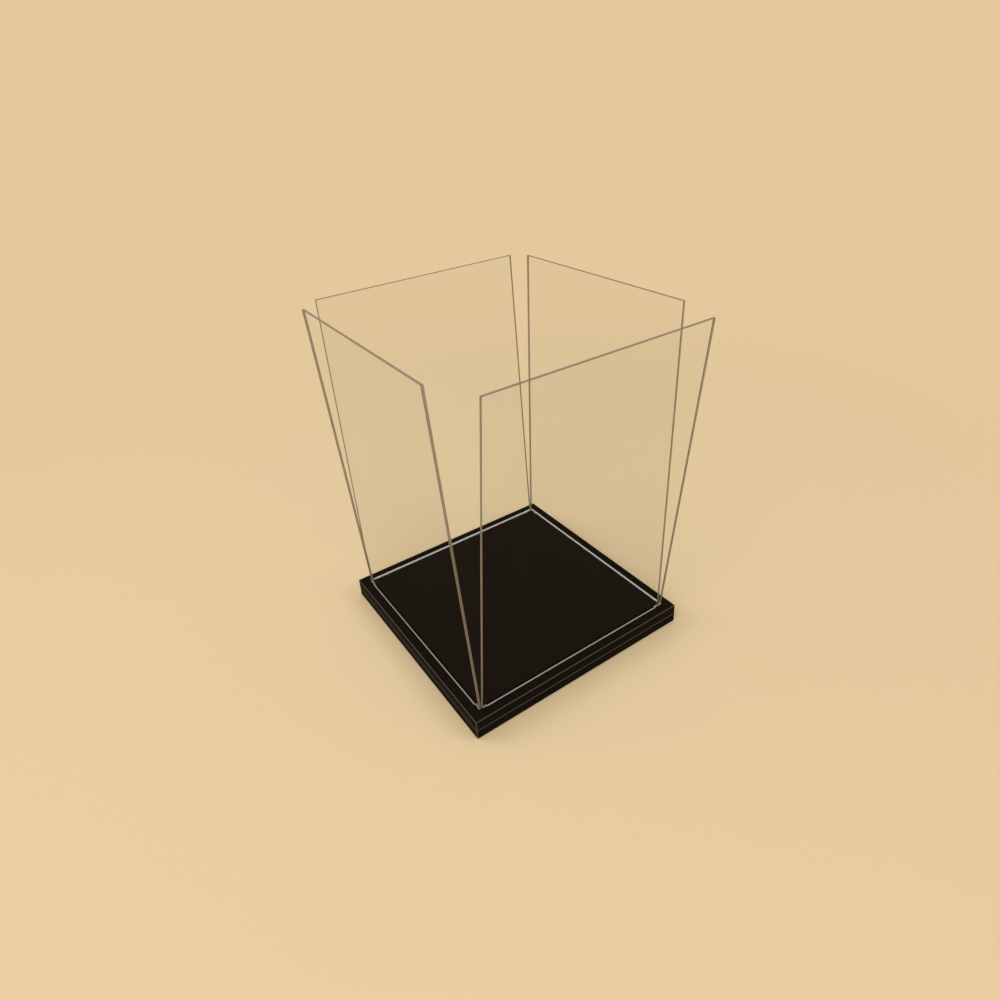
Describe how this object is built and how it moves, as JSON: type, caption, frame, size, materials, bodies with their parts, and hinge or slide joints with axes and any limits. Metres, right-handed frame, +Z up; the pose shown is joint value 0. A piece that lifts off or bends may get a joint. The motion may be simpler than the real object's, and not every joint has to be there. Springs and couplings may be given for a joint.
{
  "type": "display case",
  "caption": "Open-topped table display case: a flat square black base with clear side panels that stand in tilting rails, lean outwards and lift out.",
  "frame": {"origin": "the middle of the base's underside, on the surface that the case stands on", "axes": "+Z up out of the deck; -Y is the front, the side whose panel leans furthest in the picture"},
  "size_m": [0.2082, 0.2281, 0.2803],
  "materials": {
    "moulded_black": "satin moulded black plastic",
    "deck_black": "fine matt texture",
    "rail_black": "smooth extruded plastic",
    "clear_acrylic": "polished, see-through",
    "nickel": "nickel plated",
    "screw_steel": "blackened steel",
    "pad_rubber": "matt",
    "felt": "pressed felt"
  },
  "bodies": {
    "base": {"upper_frame": "moulded_black", "deck_carrier": "moulded_black", "deck_sheet": "deck_black", "deck_magnets": "nickel", "lower_tray": "moulded_black", "base_pad": "pad_rubber", "frame_screws": "screw_steel", "carrier_screws": "screw_steel", "drag_strip_front": "felt", "drag_strip_right": "felt", "drag_strip_back": "felt", "drag_strip_left": "felt"},
    "rail_front": {"rail_front": "rail_black"},
    "panel_front": {"panel_front": "clear_acrylic"},
    "rail_right": {"rail_right": "rail_black"},
    "panel_right": {"panel_right": "clear_acrylic"},
    "rail_back": {"rail_back": "rail_black"},
    "panel_back": {"panel_back": "clear_acrylic"},
    "rail_left": {"rail_left": "rail_black"},
    "panel_left": {"panel_left": "clear_acrylic"}
  },
  "joints": [
    {"name": "front_panel_lean", "type": "hinge", "parent": "base", "child": "rail_front", "pos_m": [0, -0.0906, 0.0149], "axis": [1, 0, 0], "range_deg": [-6.9, 3.1]},
    {"name": "front_panel_lift", "type": "slide", "parent": "rail_front", "child": "panel_front", "axis": [0, -0.1201, 0.9928], "range_m": [0, 0.06]},
    {"name": "right_panel_lean", "type": "hinge", "parent": "base", "child": "rail_right", "pos_m": [0.0906, 0, 0.0149], "axis": [0, 1, 0], "range_deg": [-1.9, 8.1]},
    {"name": "right_panel_lift", "type": "slide", "parent": "rail_right", "child": "panel_right", "axis": [0.0332, 0, 0.9995], "range_m": [0, 0.06]},
    {"name": "back_panel_lean", "type": "hinge", "parent": "base", "child": "rail_back", "pos_m": [0, 0.0906, 0.0149], "axis": [-1, 0, 0], "range_deg": [-2.8, 7.2]},
    {"name": "back_panel_lift", "type": "slide", "parent": "rail_back", "child": "panel_back", "axis": [0, 0.0489, 0.9988], "range_m": [0, 0.06]},
    {"name": "left_panel_lean", "type": "hinge", "parent": "base", "child": "rail_left", "pos_m": [-0.0906, 0, 0.0149], "axis": [0, -1, 0], "range_deg": [-3.5, 6.5]},
    {"name": "left_panel_lift", "type": "slide", "parent": "rail_left", "child": "panel_left", "axis": [-0.061, 0, 0.9981], "range_m": [0, 0.06]}
  ]
}
